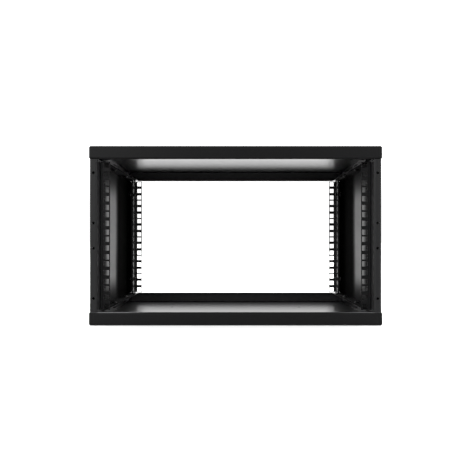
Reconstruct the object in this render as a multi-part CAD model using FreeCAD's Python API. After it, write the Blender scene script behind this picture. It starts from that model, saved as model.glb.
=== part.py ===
import FreeCAD, Part

import math
import os

# Six-unit open rack frame of folded steel, in millimetres.
# The origin is at the middle of the underside, +X to the right, -Y to the front, +Z up.

# Standard rack opening
rack_units = 6
unit_height = 44.45
rail_opening = 452.6
hole_from_rail_edge = 6.25
first_hole_height = 6.35
hole_pitch = 15.875
holes_per_unit = 3
square_hole = 9.5

# Whole frame
depth = 400.0
rail_end_clearance = 2.15

# Sheet and folds
sheet = 1.5
fold_inner = 2.0
relief_width = 2.0
relief_depth = 1.0

# Top and bottom trays
lip_height = 23.75
front_return = 15.0
return_overhang = 1.3
window_corner = 3.0
foot_hole_diameter = 6.5
foot_spacing_x = 286.0
foot_spacing_y = 156.0

# Side panels
side_inset = 1.7
column_width = 14.0
column_margin = 0.5
side_flange_width = 22.0
side_flange_gap = 3.0
flange_hole_diameter = 5.0

# Rails
rail_sheet = 2.0
rail_fold_inner = 1.5
rail_face_width = 18.0
rail_setback = 19.5
rail_web_depth = 30.0
rail_screw_from_edge = 13.0
rail_screw_spacing = 200.0
rail_screws = 2

# M6 screws and nuts
thread_diameter = 6.0
screw_hole_diameter = 6.6
head_diameter = 10.5
head_height = 3.3
head_land = 0.8
head_crown_diameter = 6.0
socket_flats = 4.0
socket_depth = 2.0
thread_tail = 1.5
nut_flats = 10.0
nut_height = 5.0
nut_thread_gap = 0.1
panel_bolt_from_edge = 7.0
panel_bolt_spacing = 120.0

# How far a cutting tool runs past the face that it opens
cut_past = 1.0

# Sizes that follow from the ones above
rail_height = rack_units * unit_height
opening_height = rail_height + 2 * rail_end_clearance
height = opening_height + 2 * lip_height
middle_height = height / 2
fold_outer = fold_inner + sheet
column_face_x = rail_opening / 2 + rail_face_width
side_outer_x = column_face_x + column_width
width = 2 * (side_outer_x + side_inset)
column_return = rail_setback + rail_web_depth + column_margin
front_y = -depth / 2
flange_half_length = depth / 2 - column_return - side_flange_gap
flange_edge_x = side_outer_x - side_flange_width
side_return = side_inset + side_flange_width + return_overhang
panel_bolt_x = flange_edge_x + panel_bolt_from_edge
rail_screw_y = front_y + rail_setback + rail_web_depth - rail_screw_from_edge

X_AXIS = FreeCAD.Vector(1, 0, 0)
Y_AXIS = FreeCAD.Vector(0, 1, 0)
Z_AXIS = FreeCAD.Vector(0, 0, 1)
HEXAGON_SIDES = 6


def rounded_wire(corners):
    """Closed wire through corners, each a point and the radius that rounds it."""
    edges = []
    count = len(corners)
    ends = []
    for i, (point, radius) in enumerate(corners):
        back = (corners[i - 1][0] - point).normalize()
        ahead = (corners[(i + 1) % count][0] - point).normalize()
        if radius == 0:
            ends.append((point, point))
            continue
        half = back.getAngle(ahead) / 2
        reach = radius / math.tan(half)
        start = point + back * reach
        end = point + ahead * reach
        inward = (back + ahead).normalize()
        middle = point + inward * (radius / math.sin(half) - radius)
        edges.append(Part.Arc(start, middle, end).toShape())
        ends.append((start, end))
    for i, (start, end) in enumerate(ends):
        edges.append(Part.LineSegment(ends[i - 1][1], start).toShape())
    return Part.Wire(Part.__sortEdges__(edges))


def folded_section(path, thickness, inner_radius, plane_normal):
    """Face of a folded sheet whose outer side follows path, with the sheet on the path's left."""
    outer = []
    inner = []
    for i, point in enumerate(path):
        before = (point - path[i - 1]).normalize() if i > 0 else None
        after = (path[i + 1] - point).normalize() if i < len(path) - 1 else None
        sides = [plane_normal.cross(way) for way in (before, after) if way is not None]
        shift = sum(sides, FreeCAD.Vector())
        is_fold = len(sides) == 2
        outer.append((point, inner_radius + thickness if is_fold else 0))
        inner.append((point + shift * thickness, inner_radius if is_fold else 0))
    return Part.Face(rounded_wire(outer + inner[::-1]))


def cylinder(diameter, start, end):
    """Round bar from start to end."""
    way = end - start
    return Part.makeCylinder(diameter / 2, way.Length, start, way)


def rounded_box(size_x, size_y, low, high, radius):
    """Box centred on the Z axis, with every edge rounded."""
    corner = FreeCAD.Vector(-size_x / 2, -size_y / 2, low)
    box = Part.makeBox(size_x, size_y, high - low, corner)
    return box.makeFillet(radius, box.Edges)


def turned(shape, axis):
    """Copy of shape after half a turn about an axis through the middle of the frame."""
    copy = shape.copy()
    copy.rotate(FreeCAD.Vector(0, 0, middle_height), axis, 180)
    return copy


def panel_bolt_places():
    """X and Y of the panel bolts at the right side of the frame."""
    return [(panel_bolt_x, side * panel_bolt_spacing / 2) for side in (-1, 1)]


def rail_screw_heights():
    """Z of the screws that hold each rail."""
    first = middle_height - (rail_screws - 1) / 2 * rail_screw_spacing
    return [first + i * rail_screw_spacing for i in range(rail_screws)]


def tray():
    """Bottom tray: a flat sheet with a lip on each side, and returns along the lips' free edges."""
    outer = rounded_box(width, depth, 0, lip_height, fold_outer)
    inside = rounded_box(
        width - 2 * sheet, depth - 2 * sheet, sheet, lip_height - sheet, fold_inner
    )
    half_x = width / 2 - side_return
    half_y = depth / 2 - front_return
    z = lip_height - sheet - cut_past
    corners = [(-half_x, -half_y), (half_x, -half_y), (half_x, half_y), (-half_x, half_y)]
    window = rounded_wire([(FreeCAD.Vector(x, y, z), window_corner) for x, y in corners])
    opening = Part.Face(window).extrude(Z_AXIS * (sheet + 2 * cut_past))
    holes = []
    for x, y in panel_bolt_places():
        for side in (-1, 1):
            start = FreeCAD.Vector(side * x, y, lip_height - sheet - cut_past)
            end = FreeCAD.Vector(side * x, y, lip_height + cut_past)
            holes.append(cylinder(screw_hole_diameter, start, end))
    return outer.cut([inside, opening] + holes)


def foot_holes():
    """Cutters for the four foot holes in the bottom tray."""
    cutters = []
    for x in (-foot_spacing_x / 2, foot_spacing_x / 2):
        for y in (-foot_spacing_y / 2, foot_spacing_y / 2):
            start = FreeCAD.Vector(x, y, -cut_past)
            end = FreeCAD.Vector(x, y, sheet + cut_past)
            cutters.append(cylinder(foot_hole_diameter, start, end))
    return cutters


def side_columns():
    """Wall of the right side panel with its front and rear edges folded twice into columns."""
    low = lip_height
    path = [
        FreeCAD.Vector(column_face_x, front_y + column_return, low),
        FreeCAD.Vector(column_face_x, front_y, low),
        FreeCAD.Vector(side_outer_x, front_y, low),
        FreeCAD.Vector(side_outer_x, -front_y, low),
        FreeCAD.Vector(column_face_x, -front_y, low),
        FreeCAD.Vector(column_face_x, -front_y - column_return, low),
    ]
    section = folded_section(path, sheet, fold_inner, Z_AXIS)
    return section.extrude(Z_AXIS * opening_height)


def side_flanges():
    """Middle of the right side panel's wall with its top and bottom flanges."""
    low = lip_height
    high = lip_height + opening_height
    y = -flange_half_length
    path = [
        FreeCAD.Vector(flange_edge_x, y, low),
        FreeCAD.Vector(side_outer_x, y, low),
        FreeCAD.Vector(side_outer_x, y, high),
        FreeCAD.Vector(flange_edge_x, y, high),
    ]
    section = folded_section(path, sheet, fold_inner, -Y_AXIS)
    return section.extrude(Y_AXIS * (2 * flange_half_length))


def side_panel():
    """Right side panel."""
    clear_half = flange_half_length + relief_width
    clear_height = fold_outer + relief_depth
    notches = []
    for low in (lip_height - cut_past, height - lip_height - clear_height):
        corner = FreeCAD.Vector(side_outer_x - sheet - cut_past, -clear_half, low)
        size_x = sheet + 2 * cut_past
        notches.append(
            Part.makeBox(size_x, 2 * clear_half, clear_height + cut_past, corner)
        )
    body = side_columns().cut(notches).fuse(side_flanges()).removeSplitter()
    return body.cut(side_panel_holes())


def side_panel_holes():
    """Cutters for the right side panel's flange, rail and panel bolt holes."""
    cutters = []
    x = column_face_x + column_width / 2
    # The flange holes lie half a unit from the middle and half a unit from the ends
    for units_out in ((rack_units - 1) / 2, 0.5):
        for side in (-1, 1):
            z = middle_height + side * units_out * unit_height
            start = FreeCAD.Vector(x, front_y - cut_past, z)
            end = FreeCAD.Vector(x, -front_y + cut_past, z)
            cutters.append(cylinder(flange_hole_diameter, start, end))
    for z in rail_screw_heights():
        for y in (rail_screw_y, -rail_screw_y):
            start = FreeCAD.Vector(column_face_x - cut_past, y, z)
            end = FreeCAD.Vector(column_face_x + sheet + cut_past, y, z)
            cutters.append(cylinder(screw_hole_diameter, start, end))
    for x, y in panel_bolt_places():
        start = FreeCAD.Vector(x, y, lip_height - cut_past)
        end = FreeCAD.Vector(x, y, height - lip_height + cut_past)
        cutters.append(cylinder(screw_hole_diameter, start, end))
    return cutters


def rail():
    """Front right rail: an angle with square holes in its face and screw holes in its web."""
    low = lip_height + rail_end_clearance
    face_y = front_y + rail_setback
    path = [
        FreeCAD.Vector(rail_opening / 2, face_y, low),
        FreeCAD.Vector(column_face_x, face_y, low),
        FreeCAD.Vector(column_face_x, face_y + rail_web_depth, low),
    ]
    section = folded_section(path, rail_sheet, rail_fold_inner, Z_AXIS)
    body = section.extrude(Z_AXIS * rail_height)
    cutters = []
    hole_x = rail_opening / 2 + hole_from_rail_edge - square_hole / 2
    for unit in range(rack_units):
        for hole in range(holes_per_unit):
            z = low + unit * unit_height + first_hole_height + hole * hole_pitch
            corner = FreeCAD.Vector(hole_x, face_y - cut_past, z - square_hole / 2)
            size_y = rail_sheet + 2 * cut_past
            cutters.append(Part.makeBox(square_hole, size_y, square_hole, corner))
    for z in rail_screw_heights():
        start = FreeCAD.Vector(column_face_x - rail_sheet - cut_past, rail_screw_y, z)
        end = FreeCAD.Vector(column_face_x + cut_past, rail_screw_y, z)
        cutters.append(cylinder(screw_hole_diameter, start, end))
    return body.cut(cutters)


def hexagon(flats, low, high):
    """Hexagonal bar on the Z axis, by its width across flats."""
    radius = flats / 2 / math.cos(math.pi / HEXAGON_SIDES)
    points = []
    for i in range(HEXAGON_SIDES + 1):
        turn = 2 * math.pi * i / HEXAGON_SIDES
        points.append(
            FreeCAD.Vector(radius * math.cos(turn), radius * math.sin(turn), low)
        )
    return Part.Face(Part.makePolygon(points)).extrude(Z_AXIS * (high - low))


def screw(grip):
    """Socket screw with its head below z = 0 and its thread along +Z."""
    length = grip + nut_height + thread_tail
    half_section = Part.makePolygon(
        [
            FreeCAD.Vector(0, 0, -head_height),
            FreeCAD.Vector(head_crown_diameter / 2, 0, -head_height),
            FreeCAD.Vector(head_diameter / 2, 0, -head_land),
            FreeCAD.Vector(head_diameter / 2, 0, 0),
            FreeCAD.Vector(thread_diameter / 2, 0, 0),
            FreeCAD.Vector(thread_diameter / 2, 0, length),
            FreeCAD.Vector(0, 0, length),
            FreeCAD.Vector(0, 0, -head_height),
        ]
    )
    body = Part.Face(half_section).revolve(FreeCAD.Vector(), Z_AXIS, 360)
    socket = hexagon(socket_flats, -head_height - cut_past, socket_depth - head_height)
    return body.cut(socket)


def nut():
    """Hexagonal nut on the Z axis, from z = 0 up."""
    bore = Part.makeCylinder(thread_diameter / 2 + nut_thread_gap, nut_height)
    return hexagon(nut_flats, 0, nut_height).cut(bore)


def placed(shape, place, way):
    """Copy of shape with its own +Z along way and its origin at place."""
    copy = shape.copy()
    copy.Placement = FreeCAD.Placement(place, FreeCAD.Rotation(Z_AXIS, way))
    return copy


def bottom_right_bolts():
    """Bolts that hold the right side panel to the bottom tray, heads in the bay."""
    bolt = screw(2 * sheet)
    z = lip_height + sheet
    places = [FreeCAD.Vector(x, y, z) for x, y in panel_bolt_places()]
    return Part.makeCompound([placed(bolt, place, -Z_AXIS) for place in places])


def bottom_right_nuts():
    """Nuts of those bolts, inside the tray."""
    z = lip_height - sheet
    places = [FreeCAD.Vector(x, y, z) for x, y in panel_bolt_places()]
    return Part.makeCompound([placed(nut(), place, -Z_AXIS) for place in places])


def front_right_rail_screws():
    """Screws that hold the front right rail to its column."""
    bolt = screw(rail_sheet + sheet)
    x = column_face_x - rail_sheet
    places = [FreeCAD.Vector(x, rail_screw_y, z) for z in rail_screw_heights()]
    return Part.makeCompound([placed(bolt, place, X_AXIS) for place in places])


def front_right_rail_nuts():
    """Nuts of those screws, inside the column."""
    x = column_face_x + sheet
    places = [FreeCAD.Vector(x, rail_screw_y, z) for z in rail_screw_heights()]
    return Part.makeCompound([placed(nut(), place, X_AXIS) for place in places])


def frame_parts():
    """Every piece of the frame by name."""
    blank_tray = tray()
    right_side = side_panel()
    parts = {
        "top_panel": turned(blank_tray, X_AXIS),
        "bottom_panel": blank_tray.cut(foot_holes()),
        "left_side_panel": turned(right_side, Z_AXIS),
        "right_side_panel": right_side,
    }
    for kind, shape in {
        "rail": rail(),
        "rail_screws": front_right_rail_screws(),
        "rail_nuts": front_right_rail_nuts(),
    }.items():
        parts["front_right_" + kind] = shape
        parts["front_left_" + kind] = turned(shape, Y_AXIS)
        parts["rear_right_" + kind] = turned(shape, X_AXIS)
        parts["rear_left_" + kind] = turned(shape, Z_AXIS)
    for kind, shape in {
        "panel_bolts": bottom_right_bolts(),
        "panel_nuts": bottom_right_nuts(),
    }.items():
        parts["bottom_right_" + kind] = shape
        parts["bottom_left_" + kind] = turned(shape, Z_AXIS)
        parts["top_right_" + kind] = turned(shape, X_AXIS)
        parts["top_left_" + kind] = turned(shape, Y_AXIS)
    return parts


def main():
    """Write each piece to its own file."""
    os.makedirs("parts", exist_ok=True)
    for name, shape in frame_parts().items():
        shape.exportStep(f"parts/{name}.step")


main()
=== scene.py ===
"""Looks of a six-unit open rack frame: its finishes, fasteners, studio and camera."""

import logging
import math
from collections.abc import Iterable
from dataclasses import dataclass
from enum import Enum
from functools import partial, reduce

import bpy
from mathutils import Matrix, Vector

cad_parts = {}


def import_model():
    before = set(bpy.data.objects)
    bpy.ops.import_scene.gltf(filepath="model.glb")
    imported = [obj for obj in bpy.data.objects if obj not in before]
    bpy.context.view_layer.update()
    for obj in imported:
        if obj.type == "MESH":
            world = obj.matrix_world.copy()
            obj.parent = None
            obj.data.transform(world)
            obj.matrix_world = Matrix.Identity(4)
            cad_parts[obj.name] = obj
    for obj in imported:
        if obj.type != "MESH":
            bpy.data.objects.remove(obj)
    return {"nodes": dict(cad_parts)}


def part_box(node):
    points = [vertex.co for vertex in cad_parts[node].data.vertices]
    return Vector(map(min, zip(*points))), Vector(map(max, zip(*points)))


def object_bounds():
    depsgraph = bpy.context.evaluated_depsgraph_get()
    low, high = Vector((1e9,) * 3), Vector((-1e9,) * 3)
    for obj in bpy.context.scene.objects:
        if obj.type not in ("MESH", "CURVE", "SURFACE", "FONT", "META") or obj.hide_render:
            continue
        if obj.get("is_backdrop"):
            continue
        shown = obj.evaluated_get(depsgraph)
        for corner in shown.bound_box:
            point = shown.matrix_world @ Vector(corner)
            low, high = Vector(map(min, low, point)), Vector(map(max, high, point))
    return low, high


LOG = logging.getLogger("rack")

Colour = tuple[float, float, float]
Socket = bpy.types.NodeSocket

# Thickness of the trays' and side panels' sheet, in metres.
SHEET = 0.0015
# Specular level of untouched powder, and roughness of powder with no gloss left.
FULL_SHINE = 0.5
DULL = 1.0
# Length, in metres, over which an edge still looks hard.
HARD_EDGE = 0.0001
# Nearly all of a noise lies between these two values.
NOISE_SPAN = (0.3, 0.7)


class Side(Enum):
    """Left or right half of the frame, with the sign of its X."""

    LEFT = -1
    RIGHT = 1


class End(Enum):
    """Front or rear half of the frame, with the sign of its Y."""

    FRONT = -1
    REAR = 1


class Level(Enum):
    """Lower or upper half of the frame, with the sign of its height from the middle."""

    BOTTOM = -1
    TOP = 1


Half = Side | End | Level


@dataclass(frozen=True)
class Ramp:
    """A value that goes from one level to another between two points."""

    start: float
    end: float
    low: float
    high: float


class NodeGraph:
    """A material's or world's node tree, with short calls to add and join nodes."""

    def __init__(self, tree: bpy.types.NodeTree) -> None:
        """Take over a node tree."""
        self.tree = tree

    def add(self, kind: str, **settings: object) -> bpy.types.Node:
        """Add a node.

        Args:
            kind: Blender's name for the node type.
            **settings: Values for its properties.

        Returns:
            The new node.
        """
        node = self.tree.nodes.new(kind)
        for name, value in settings.items():
            setattr(node, name, value)
        return node

    def join(self, source: Socket, target: Socket) -> None:
        """Link an output to an input."""
        self.tree.links.new(source, target)

    def feed(self, value: Socket | float, target: Socket) -> None:
        """Give an input a fixed number or another node's output.

        Args:
            value: The number or the output.
            target: The input.
        """
        if isinstance(value, float):
            target.default_value = value
        else:
            self.join(value, target)

    def place(self, kind: str) -> Socket:
        """Add texture coordinates of the kind that Blender gives this name."""
        return self.add("ShaderNodeTexCoord").outputs[kind]

    def axes(self, vector: Socket) -> dict[str, Socket]:
        """Split a vector.

        Args:
            vector: The output that gives it.

        Returns:
            Its parts, by the letter of their axis.
        """
        split = self.add("ShaderNodeSeparateXYZ")
        self.join(vector, split.inputs["Vector"])
        return {axis: split.outputs[axis] for axis in "XYZ"}

    def maths(self, operation: str, *values: Socket | float) -> Socket:
        """Add a maths node.

        Args:
            operation: Blender's name for the sum.
            *values: Outputs or fixed numbers to feed it.

        Returns:
            Its result.
        """
        node = self.add("ShaderNodeMath", operation=operation)
        for value, socket in zip(values, node.inputs):
            self.feed(value, socket)
        return node.outputs["Value"]

    def noise(self, place: Socket, size: float, detail: float) -> Socket:
        """Add a noise.

        Args:
            place: Position to read it at.
            size: Size of its features, in metres.
            detail: How many finer layers it has.

        Returns:
            Its strength.
        """
        node = self.add("ShaderNodeTexNoise")
        node.inputs["Scale"].default_value = 1.0 / size
        node.inputs["Detail"].default_value = detail
        self.join(place, node.inputs["Vector"])
        return node.outputs["Fac"]

    def ramp(self, value: Socket, ramp: Ramp, step: str = "SMOOTHSTEP") -> Socket:
        """Take a value from one level to another.

        Args:
            value: The output to follow.
            ramp: Where it starts and ends, and its levels there.
            step: Blender's name for the way from one level to the other.

        Returns:
            The level.
        """
        node = self.add("ShaderNodeMapRange", interpolation_type=step)
        for name, number in (
            ("From Min", ramp.start),
            ("From Max", ramp.end),
            ("To Min", ramp.low),
            ("To Max", ramp.high),
        ):
            node.inputs[name].default_value = number
        self.join(value, node.inputs["Value"])
        return node.outputs["Result"]

    def blend(self, first: Socket | float, second: Socket | float, share: Socket) -> Socket:
        """Blend two levels.

        Args:
            first: The level where the share is nought.
            second: The level where the share is one.
            share: How far to go from the first to the second.

        Returns:
            The blended level.
        """
        node = self.add("ShaderNodeMix", data_type="FLOAT")
        self.join(share, node.inputs["Factor"])
        self.feed(first, node.inputs["A"])
        self.feed(second, node.inputs["B"])
        return node.outputs["Result"]

    def tint(self, first: Socket | Colour, second: Colour, share: Socket) -> Socket:
        """Blend two colours.

        Args:
            first: The colour, or the output that gives it, where the share is nought.
            second: The colour where the share is one.
            share: How far to go from the first to the second.

        Returns:
            The blended colour.
        """
        node = self.add("ShaderNodeMix", data_type="RGBA")
        self.join(share, node.inputs["Factor"])
        start, finish = (socket for socket in node.inputs if socket.type == "RGBA")
        if isinstance(first, tuple):
            start.default_value = (*first, 1.0)
        else:
            self.join(first, start)
        finish.default_value = (*second, 1.0)
        return next(socket for socket in node.outputs if socket.type == "RGBA")


@dataclass(frozen=True)
class Band:
    """A stretch of distance from the middle along one axis, in one half or in both."""

    axis: str
    near: float
    far: float
    fade: float = HARD_EDGE
    towards: Half | None = None

    @classmethod
    def easing(
        cls, axis: str, onset: tuple[float, float], far: float, towards: Half | None = None
    ) -> "Band":
        """Make a band that comes in slowly.

        Args:
            axis: The axis it is measured along.
            onset: Where it begins, and the length it takes to come in.
            far: Where it ends.
            towards: The half it lies in, or None for both.

        Returns:
            The band.
        """
        near, fade = onset
        return cls(axis, near, far, fade, towards)

    def mask(self, graph: NodeGraph, offset: Socket) -> Socket:
        """Build the nodes that pick the band out.

        Args:
            graph: The material's nodes.
            offset: Vector from the middle.

        Returns:
            One inside the band and nought elsewhere, easing in over the fade.
        """
        distance = graph.axes(offset)[self.axis]
        if self.towards is None:
            distance = graph.maths("ABSOLUTE", distance)
        else:
            distance = graph.maths("MULTIPLY", distance, float(self.towards.value))
        rising = graph.ramp(distance, Ramp(self.near, self.near + self.fade, 0.0, 1.0))
        return graph.maths("MULTIPLY", rising, graph.maths("LESS_THAN", distance, self.far))


@dataclass(frozen=True)
class Zone:
    """Part of a piece, as the overlap of bands."""

    bands: tuple[Band, ...]

    def mask(self, graph: NodeGraph, offset: Socket) -> Socket:
        """Build the nodes that pick the zone out.

        Args:
            graph: The material's nodes.
            offset: Vector from the middle.

        Returns:
            One inside the zone and nought elsewhere.
        """
        masks = [band.mask(graph, offset) for band in self.bands]
        return reduce(partial(graph.maths, "MULTIPLY"), masks)


@dataclass(frozen=True)
class Patch:
    """Zones round a middle where shade or light is painted on the powder, and its look there."""

    middle: Vector
    zones: tuple[Zone, ...]
    colour: Colour
    roughness: float
    shine: float = FULL_SHINE

    def mask(self, graph: NodeGraph, place: Socket) -> Socket:
        """Build the nodes that pick all the zones out.

        Args:
            graph: The material's nodes.
            place: Position in the rack's own frame.

        Returns:
            One inside the zones and nought elsewhere.
        """
        offset = graph.add("ShaderNodeVectorMath", operation="SUBTRACT")
        graph.join(place, offset.inputs[0])
        offset.inputs[1].default_value = self.middle
        masks = [zone.mask(graph, offset.outputs["Vector"]) for zone in self.zones]
        return reduce(partial(graph.maths, "MAXIMUM"), masks)


def new_material(name: str) -> tuple[bpy.types.Material, NodeGraph, bpy.types.Node]:
    """Make a material.

    Args:
        name: Its name.

    Returns:
        The material, its nodes and its shader.
    """
    made = bpy.data.materials.new(name)
    made.use_nodes = True
    return made, NodeGraph(made.node_tree), made.node_tree.nodes["Principled BSDF"]


@dataclass(frozen=True)
class PowderCoat:
    """Black powder coat: satin, with a fine even grain and slow changes of gloss."""

    name: str
    colour: Colour
    roughness: float
    ior: float
    roughness_spread: float = 0.006
    gloss_size: float = 0.05
    gloss_detail: float = 3.0
    grain_size: float = 0.0012
    grain_detail: float = 2.0
    grain_height: float = 0.000001

    def material(self, *patches: Patch) -> bpy.types.Material:
        """Build the material.

        Args:
            *patches: Where shade or light is painted on the powder, each laid over the one before.

        Returns:
            A new material with the coat's nodes.
        """
        made, graph, shader = new_material(self.name)
        shader.inputs["Base Color"].default_value = (*self.colour, 1.0)
        shader.inputs["Metallic"].default_value = 0.0
        shader.inputs["IOR"].default_value = self.ior
        place = graph.place("Object")
        gloss = self._gloss(graph, place)
        colour = self.colour
        shine = FULL_SHINE
        for patch in patches:
            mask = patch.mask(graph, place)
            gloss = graph.blend(gloss, patch.roughness, mask)
            colour = graph.tint(colour, patch.colour, mask)
            if patch.shine != FULL_SHINE:
                shine = graph.blend(shine, patch.shine, mask)
        graph.feed(shine, shader.inputs["Specular IOR Level"])
        if patches:
            graph.join(colour, shader.inputs["Base Color"])
        graph.join(gloss, shader.inputs["Roughness"])
        self._grain(graph, place, shader)
        return made

    def _gloss(self, graph: NodeGraph, place: Socket) -> Socket:
        """Let the roughness drift slowly over the sheet.

        Args:
            graph: The material's nodes.
            place: Position in the rack's own frame.

        Returns:
            The roughness.
        """
        drift = graph.noise(place, self.gloss_size, self.gloss_detail)
        low, high = self.roughness - self.roughness_spread, self.roughness + self.roughness_spread
        return graph.ramp(drift, Ramp(*NOISE_SPAN, low, high))

    def _grain(self, graph: NodeGraph, place: Socket, shader: bpy.types.Node) -> None:
        """Raise the fine grain that baked powder leaves.

        Args:
            graph: The material's nodes.
            place: Position in the rack's own frame.
            shader: The shader that gets the grain.
        """
        grain = graph.noise(place, self.grain_size, self.grain_detail)
        bump = graph.add("ShaderNodeBump")
        bump.inputs["Distance"].default_value = self.grain_height
        graph.join(grain, bump.inputs["Height"])
        graph.join(bump.outputs["Normal"], shader.inputs["Normal"])


@dataclass(frozen=True)
class Plating:
    """Metal finish of the nuts, slightly mottled."""

    name: str
    colour: Colour
    roughness: float
    roughness_spread: float
    mottle_size: float = 0.0012
    mottle_detail: float = 2.0

    def material(self) -> bpy.types.Material:
        """Build the material.

        Returns:
            A new material with the plating's nodes.
        """
        made, graph, shader = new_material(self.name)
        shader.inputs["Base Color"].default_value = (*self.colour, 1.0)
        shader.inputs["Metallic"].default_value = 1.0
        mottle = graph.noise(graph.place("Object"), self.mottle_size, self.mottle_detail)
        low, high = self.roughness - self.roughness_spread, self.roughness + self.roughness_spread
        roughness = graph.ramp(mottle, Ramp(*NOISE_SPAN, low, high), "LINEAR")
        graph.join(roughness, shader.inputs["Roughness"])
        return made


TRAY_COAT = PowderCoat(
    name="tray_coat_with_painted_light", colour=(0.0032, 0.0032, 0.0034), roughness=0.28, ior=1.17
)
SIDE_COAT = PowderCoat(
    name="side_powder_coat", colour=(0.0065, 0.0065, 0.0068), roughness=0.36, ior=1.22
)
RAIL_COAT = PowderCoat(
    name="rail_powder_coat", colour=(0.0025, 0.0025, 0.0027), roughness=0.24, ior=1.16
)
SCREW_COAT = PowderCoat(
    name="black_screw_finish", colour=(0.004, 0.004, 0.0042), roughness=0.6, ior=1.2
)
BLACK_ZINC = Plating(
    name="black_zinc", colour=(0.06, 0.06, 0.064), roughness=0.42, roughness_spread=0.06
)
# Colours of the patches, painted shade and painted light, from the darkest shade to the brightest
# painted highlight.
# Painted shade on the rear of the side walls.
REAR_PAINTED_SHADE = (0.0005, 0.0005, 0.0005)
# Painted shade on the side walls' ends and flanges, and behind the front rails' faces.
EDGE_AND_RECESS_PAINTED_SHADE = (0.002, 0.002, 0.0021)
# Painted shade on the lower half of the side walls.
LOW_WALL_PAINTED_SHADE = (0.0035, 0.0035, 0.0037)
# Painted light on the columns' inner faces, the front rails' folds and the rear rails.
COLUMN_AND_RAIL_PAINTED_LIGHT = (0.014, 0.014, 0.0145)
# Painted light on the inner faces of the tray sheets and rear lips.
INNER_PAINTED_LIGHT = (0.022, 0.022, 0.0227)
# Painted highlight along the bottom tray's front fold, and its brighter left part below.
FOLD_PAINTED_HIGHLIGHT = (0.07, 0.07, 0.072)
LEFT_FOLD_PAINTED_HIGHLIGHT = (0.115, 0.115, 0.118)


def wear(
    nodes: dict[str, bpy.types.Object], names: list[str], finish: bpy.types.Material
) -> list[str]:
    """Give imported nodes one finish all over.

    Args:
        nodes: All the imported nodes, by name.
        names: The names of those that get the finish.
        finish: The finish.

    Returns:
        The names.
    """
    for name in names:
        slots = nodes[name].data.materials
        slots.clear()
        slots.append(finish)
    return names


@dataclass
class Trays:
    """The folded top and bottom panels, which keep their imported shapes."""

    nodes: dict[str, bpy.types.Object]
    coat: PowderCoat = TRAY_COAT
    skin: float = 0.0003
    front_fold: float = 0.004
    crown_height: float = 0.0012
    # Where the painted highlight along the bottom tray's front fold comes in, and how far its
    # brighter left part reaches.
    highlight_onset: tuple[float, float] = (0.15, 0.08)
    left_highlight_onset: tuple[float, float] = (0.15, 0.05)
    left_highlight_far: float = 0.244

    def dress(self) -> list[str]:
        """Coat both trays.

        Returns:
            Their names.
        """
        finish = self.coat.material(self._painted_light_insides(), *self._tray_fold_highlight())
        return wear(self.nodes, [f"{level.name}_panel".lower() for level in Level], finish)

    def _painted_light_insides(self) -> Patch:
        """Find the inner faces of the sheets and of the rear lips, which painted light makes
        paler.

        Returns:
            Their patch, round a middle halfway between the trays.
        """
        low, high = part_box("bottom_panel")[0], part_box("top_panel")[1]
        middle_z = (low.z + high.z) / 2
        lip_face = high.y - SHEET
        sheet_face = high.z - SHEET - middle_z
        lips = Zone((Band("Y", lip_face - self.skin, lip_face + self.skin, towards=End.REAR),))
        sheets = Zone((Band("Z", sheet_face - self.skin, sheet_face + self.skin),))
        middle = Vector((0.0, 0.0, middle_z))
        return Patch(middle, (lips, sheets), INNER_PAINTED_LIGHT, self.coat.roughness)

    def _tray_fold_highlight(self) -> list[Patch]:
        """Find the ends of the bottom tray's front fold, where a highlight is painted.

        Returns:
            The painted highlight on the crown at both ends, and a brighter one at the left over
            it.
        """
        low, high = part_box("bottom_panel")
        crown = (
            Band("Y", -low.y - self.front_fold, -low.y, towards=End.FRONT),
            Band("Z", high.z - self.crown_height, high.z + SHEET),
        )
        highlight_band = Band.easing("X", self.highlight_onset, high.x - self.front_fold)
        left_highlight_band = Band.easing("X", self.left_highlight_onset, self.left_highlight_far, Side.LEFT)
        return [
            Patch(Vector(), (Zone((stretch, *crown)),), colour, self.coat.roughness)
            for stretch, colour in ((highlight_band, FOLD_PAINTED_HIGHLIGHT), (left_highlight_band, LEFT_FOLD_PAINTED_HIGHLIGHT))
        ]


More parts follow.
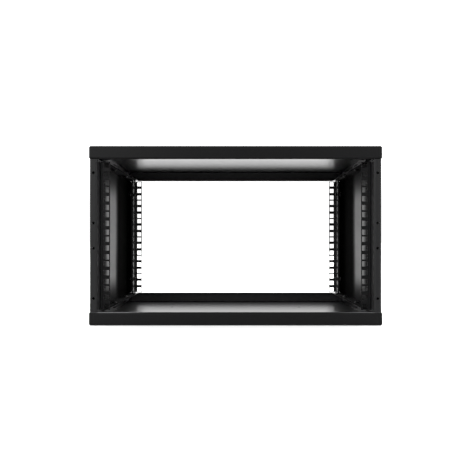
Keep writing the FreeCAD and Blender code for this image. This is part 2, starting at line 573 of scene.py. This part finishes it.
@dataclass
class SidePanels:
    """The folded side panels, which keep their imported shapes."""

    nodes: dict[str, bpy.types.Object]
    coat: PowderCoat = SIDE_COAT
    skin: float = 0.0003
    edge_fold: float = 0.004
    column_width: float = 0.014
    column_depth: float = 0.05
    column_margin: float = 0.0004
    front_onset: tuple[float, float] = (0.055, 0.045)
    rear_onset: tuple[float, float] = (0.01, 0.045)
    top_onset: tuple[float, float] = (0.067, 0.085)
    bottom_onset: tuple[float, float] = (0.077, 0.085)
    low_wall_onset: tuple[float, float] = (-0.02, 0.09)
    # Specular levels inside the painted-shade patches.
    shaded_shine: float = 0.12
    rear_shine: float = 0.03
    low_wall_shine: float = 0.16

    def dress(self) -> list[str]:
        """Coat both side panels.

        Returns:
            Their names.
        """
        finish = self.coat.material(*self._patches())
        return wear(self.nodes, [f"{side.name}_side_panel".lower() for side in Side], finish)

    def _patches(self) -> tuple[Patch, ...]:
        """Find where shade or light is painted: on the walls, their flanges and the front columns.

        Returns:
            Painted shade on the walls' lower half, ends, flanges and rear; painted light on the
            columns' inner faces.
        """
        low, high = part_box("right_side_panel")
        middle = Vector((0.0, (low.y + high.y) / 2, (low.z + high.z) / 2))
        half_y, half_z = (high.y - low.y) / 2, (high.z - low.z) / 2
        reach = half_y - self.edge_fold
        wall_face = high.x - SHEET / 2
        column_face = high.x - self.column_width
        wall = Band("X", column_face + SHEET + self.column_margin, wall_face)
        whole_depth = Band("Y", -reach, reach)
        low_wall = Band.easing("Z", self.low_wall_onset, half_z, Level.BOTTOM)
        front = Band.easing("Y", self.front_onset, reach, End.FRONT)
        rear = Band.easing("Y", self.rear_onset, reach, End.REAR)
        top = Band.easing("Z", self.top_onset, half_z, Level.TOP)
        bottom = Band.easing("Z", self.bottom_onset, half_z, Level.BOTTOM)
        inwards = Band("X", 0.0, wall_face)
        flange = Band("Z", half_z - 2 * SHEET, half_z + SHEET)
        shaded_ends = (
            Zone((wall, front)),
            Zone((wall, whole_depth, top)),
            Zone((wall, whole_depth, bottom)),
            Zone((inwards, whole_depth, flange)),
        )
        columns = Zone(
            (
                Band("X", column_face - self.skin, column_face + self.skin),
                Band("Y", half_y - self.column_depth, reach, towards=End.FRONT),
            )
        )
        low_walls = (Zone((wall, whole_depth, low_wall)),)
        satin = self.coat.roughness
        return (
            # Painted shade darkens the lower walls, their ends and flanges, and their rear;
            # painted light makes the columns' inner faces paler.
            Patch(middle, low_walls, LOW_WALL_PAINTED_SHADE, satin, self.low_wall_shine),
            Patch(middle, shaded_ends, EDGE_AND_RECESS_PAINTED_SHADE, DULL, self.shaded_shine),
            Patch(middle, (Zone((wall, rear)),), REAR_PAINTED_SHADE, DULL, self.rear_shine),
            Patch(middle, (columns,), COLUMN_AND_RAIL_PAINTED_LIGHT, satin),
        )


@dataclass
class Rails:
    """The four rails with square holes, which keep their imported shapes."""

    nodes: dict[str, bpy.types.Object]
    coat: PowderCoat = RAIL_COAT
    face_skin: float = 0.0002
    fold_radius: float = 0.0035

    def dress(self) -> list[str]:
        """Coat each rail.

        Returns:
            The names of the rails.
        """
        finish = self.coat.material(self._shade_behind_faces(), self._rail_fold_highlights(), self._rear_painted_light())
        names = [f"{end.name}_{side.name}_rail".lower() for end in End for side in Side]
        return wear(self.nodes, names, finish)

    def _shade_behind_faces(self) -> Patch:
        """Find what lies behind the faces of the front rails, where shade is painted.

        Returns:
            Its patch.
        """
        low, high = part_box("front_right_rail")
        behind = Band("Y", -high.y, -low.y - self.face_skin, towards=End.FRONT)
        return Patch(Vector(), (Zone((behind,)),), EDGE_AND_RECESS_PAINTED_SHADE, DULL)

    def _rail_fold_highlights(self) -> Patch:
        """Find the folds of the front rails, between their faces and their webs, where a paler
        highlight is painted.

        Returns:
            Their patch.
        """
        low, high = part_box("front_right_rail")
        fold = Zone(
            (
                Band("X", high.x - self.fold_radius, high.x + self.fold_radius),
                Band("Y", -low.y - self.fold_radius, -low.y + self.fold_radius, towards=End.FRONT),
            )
        )
        return Patch(Vector(), (fold,), COLUMN_AND_RAIL_PAINTED_LIGHT, self.coat.roughness)

    def _rear_painted_light(self) -> Patch:
        """Find the rear rails, which painted light makes paler than the front ones.

        Returns:
            Their patch.
        """
        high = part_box("rear_right_rail")[1]
        rear = Band("Y", 0.0, high.y + self.fold_radius, towards=End.REAR)
        return Patch(Vector(), (Zone((rear,)),), COLUMN_AND_RAIL_PAINTED_LIGHT, self.coat.roughness)


@dataclass
class Fasteners:
    """Screws and nuts of the frame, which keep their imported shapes."""

    nodes: dict[str, bpy.types.Object]
    screw_finish: PowderCoat = SCREW_COAT
    nut_finish: Plating = BLACK_ZINC

    def dress(self) -> list[str]:
        """Finish each group of screws and nuts.

        Returns:
            The names of the groups.
        """
        screws = [name for name in self.nodes if name.endswith(("_bolts", "_screws"))]
        nuts = [name for name in self.nodes if name.endswith("_nuts")]
        dressed = wear(self.nodes, screws, self.screw_finish.material())
        return dressed + wear(self.nodes, nuts, self.nut_finish.material())


@dataclass(frozen=True)
class PhotoCamera:
    """Camera straight in front of the bay, a few millimetres below its middle.

    The picture's pixels are counted from its top left corner.
    """

    frame_px: float = 470.0
    middle_px: tuple[float, float] = (235.58, 235.62)
    horizon_px: float = 240.4
    front_px_per_metre: float = 566.0
    rear_to_front: float = 0.72
    sensor_mm: float = 36.0

    def place(self, low: Vector, high: Vector) -> None:
        """Set the camera up for the rack's box.

        Args:
            low: Lowest corner of the rack.
            high: Highest corner of the rack.
        """
        distance = (high.y - low.y) * self.rear_to_front / (1.0 - self.rear_to_front)
        half = self.frame_px / 2
        data = bpy.data.cameras.new("photo_camera")
        data.sensor_width = self.sensor_mm
        data.lens = self.front_px_per_metre * distance * self.sensor_mm / self.frame_px
        data.shift_y = (self.horizon_px - half) / self.frame_px
        camera = bpy.data.objects.new("photo_camera", data)
        camera.location = (
            (low.x + high.x) / 2 - (self.middle_px[0] - half) / self.front_px_per_metre,
            low.y - distance,
            (low.z + high.z) / 2 - (self.horizon_px - self.middle_px[1]) / self.front_px_per_metre,
        )
        camera.rotation_euler = (math.pi / 2, 0.0, 0.0)
        bpy.context.scene.collection.objects.link(camera)
        bpy.context.scene.camera = camera


@dataclass(frozen=True)
class Softbox:
    """A large soft rectangular light."""

    name: str
    at: tuple[float, float, float]
    aim: tuple[float, float, float]
    size: tuple[float, float]
    power: float

    def place(self) -> None:
        """Hang the light and turn it to what it lights."""
        data = bpy.data.lights.new(self.name, "AREA")
        data.shape = "RECTANGLE"
        data.size, data.size_y = self.size
        data.energy = self.power
        light = bpy.data.objects.new(self.name, data)
        light.location = self.at
        way = Vector(self.aim) - Vector(self.at)
        light.rotation_euler = way.to_track_quat("-Z", "Y").to_euler()
        bpy.context.scene.collection.objects.link(light)


@dataclass(frozen=True)
class Surround:
    """Soft light from all round: its levels, and the directions between which they change."""

    behind_low: float = 1.2
    behind_high: float = 3.0
    front_middle: float = 1.0
    front_left: float = 4.4
    front_right: float = 2.2
    overhead: float = 1.5
    left_span: tuple[float, float] = (-0.32, 0.0)
    right_span: tuple[float, float] = (0.05, 0.4)
    behind_span: tuple[float, float] = (0.06, 0.2)
    back_span: tuple[float, float] = (-0.2, 0.3)
    overhead_span: tuple[float, float] = (0.35, 0.6)

    def build(self) -> bpy.types.World:
        """Build the world.

        Returns:
            A new world with the surround's nodes.
        """
        world = bpy.data.worlds.new("studio")
        world.use_nodes = True
        graph = NodeGraph(world.node_tree)
        background = world.node_tree.nodes["Background"]
        background.inputs["Color"].default_value = (1.0, 1.0, 1.0, 1.0)
        way = graph.axes(graph.place("Generated"))
        front = graph.maths(
            "ADD",
            graph.ramp(way["X"], Ramp(*self.left_span, self.front_left, self.front_middle)),
            graph.ramp(way["X"], Ramp(*self.right_span, 0.0, self.front_right)),
        )
        behind = graph.ramp(way["Z"], Ramp(*self.behind_span, self.behind_low, self.behind_high))
        backwards = graph.ramp(way["Y"], Ramp(*self.back_span, 0.0, 1.0))
        upwards = graph.ramp(way["Z"], Ramp(*self.overhead_span, 0.0, 1.0))
        level = graph.blend(front, behind, backwards)
        level = graph.blend(level, self.overhead, upwards)
        graph.join(level, background.inputs["Strength"])
        return world


@dataclass(frozen=True)
class Studio:
    """Pale floor and soft light: the floor is white behind the rack and greyer in front, painted
    shade that darkens what the rack's front faces reflect.
    """

    floor_size: float = 60.0
    floor_tone: Ramp = Ramp(-0.6, -0.24, 0.55, 0.98)
    floor_roughness: float = 0.7
    surround: Surround = Surround()
    rear_softbox: Softbox = Softbox(
        name="rear_softbox", at=(0.0, 2.0, 2.4), aim=(0.0, 2.0, 0.0), size=(6.0, 2.0), power=190.0
    )

    def build(self) -> None:
        """Lay the floor, and set the surrounding light and the softbox."""
        self._floor()
        bpy.context.scene.world = self.surround.build()
        self.rear_softbox.place()

    def _floor(self) -> None:
        """Lay a large matt floor under the rack."""
        half = self.floor_size / 2
        corners = [(-half, -half, 0), (half, -half, 0), (half, half, 0), (-half, half, 0)]
        mesh = bpy.data.meshes.new("floor")
        mesh.from_pydata(corners, [], [(0, 1, 2, 3)])
        floor = bpy.data.objects.new("floor", mesh)
        bpy.context.scene.collection.objects.link(floor)
        finish, graph, shader = new_material("studio_floor")
        tone = graph.ramp(graph.axes(graph.place("Object"))["Y"], self.floor_tone)
        graph.join(tone, shader.inputs["Base Color"])
        shader.inputs["Roughness"].default_value = self.floor_roughness
        mesh.materials.append(finish)
        floor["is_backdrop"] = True


def main() -> None:
    """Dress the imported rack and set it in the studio."""
    logging.basicConfig(level=logging.INFO, format="%(name)s: %(message)s")
    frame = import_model()
    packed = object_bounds()
    nodes = frame["nodes"]
    for assembly in (Trays(nodes), SidePanels(nodes), Rails(nodes), Fasteners(nodes)):
        for name in assembly.dress():
            LOG.info("dressed %s", name)
    Studio().build()
    PhotoCamera().place(*packed)
    bpy.context.scene.view_settings.view_transform = "Standard"


if __name__ == "__main__":
    main()
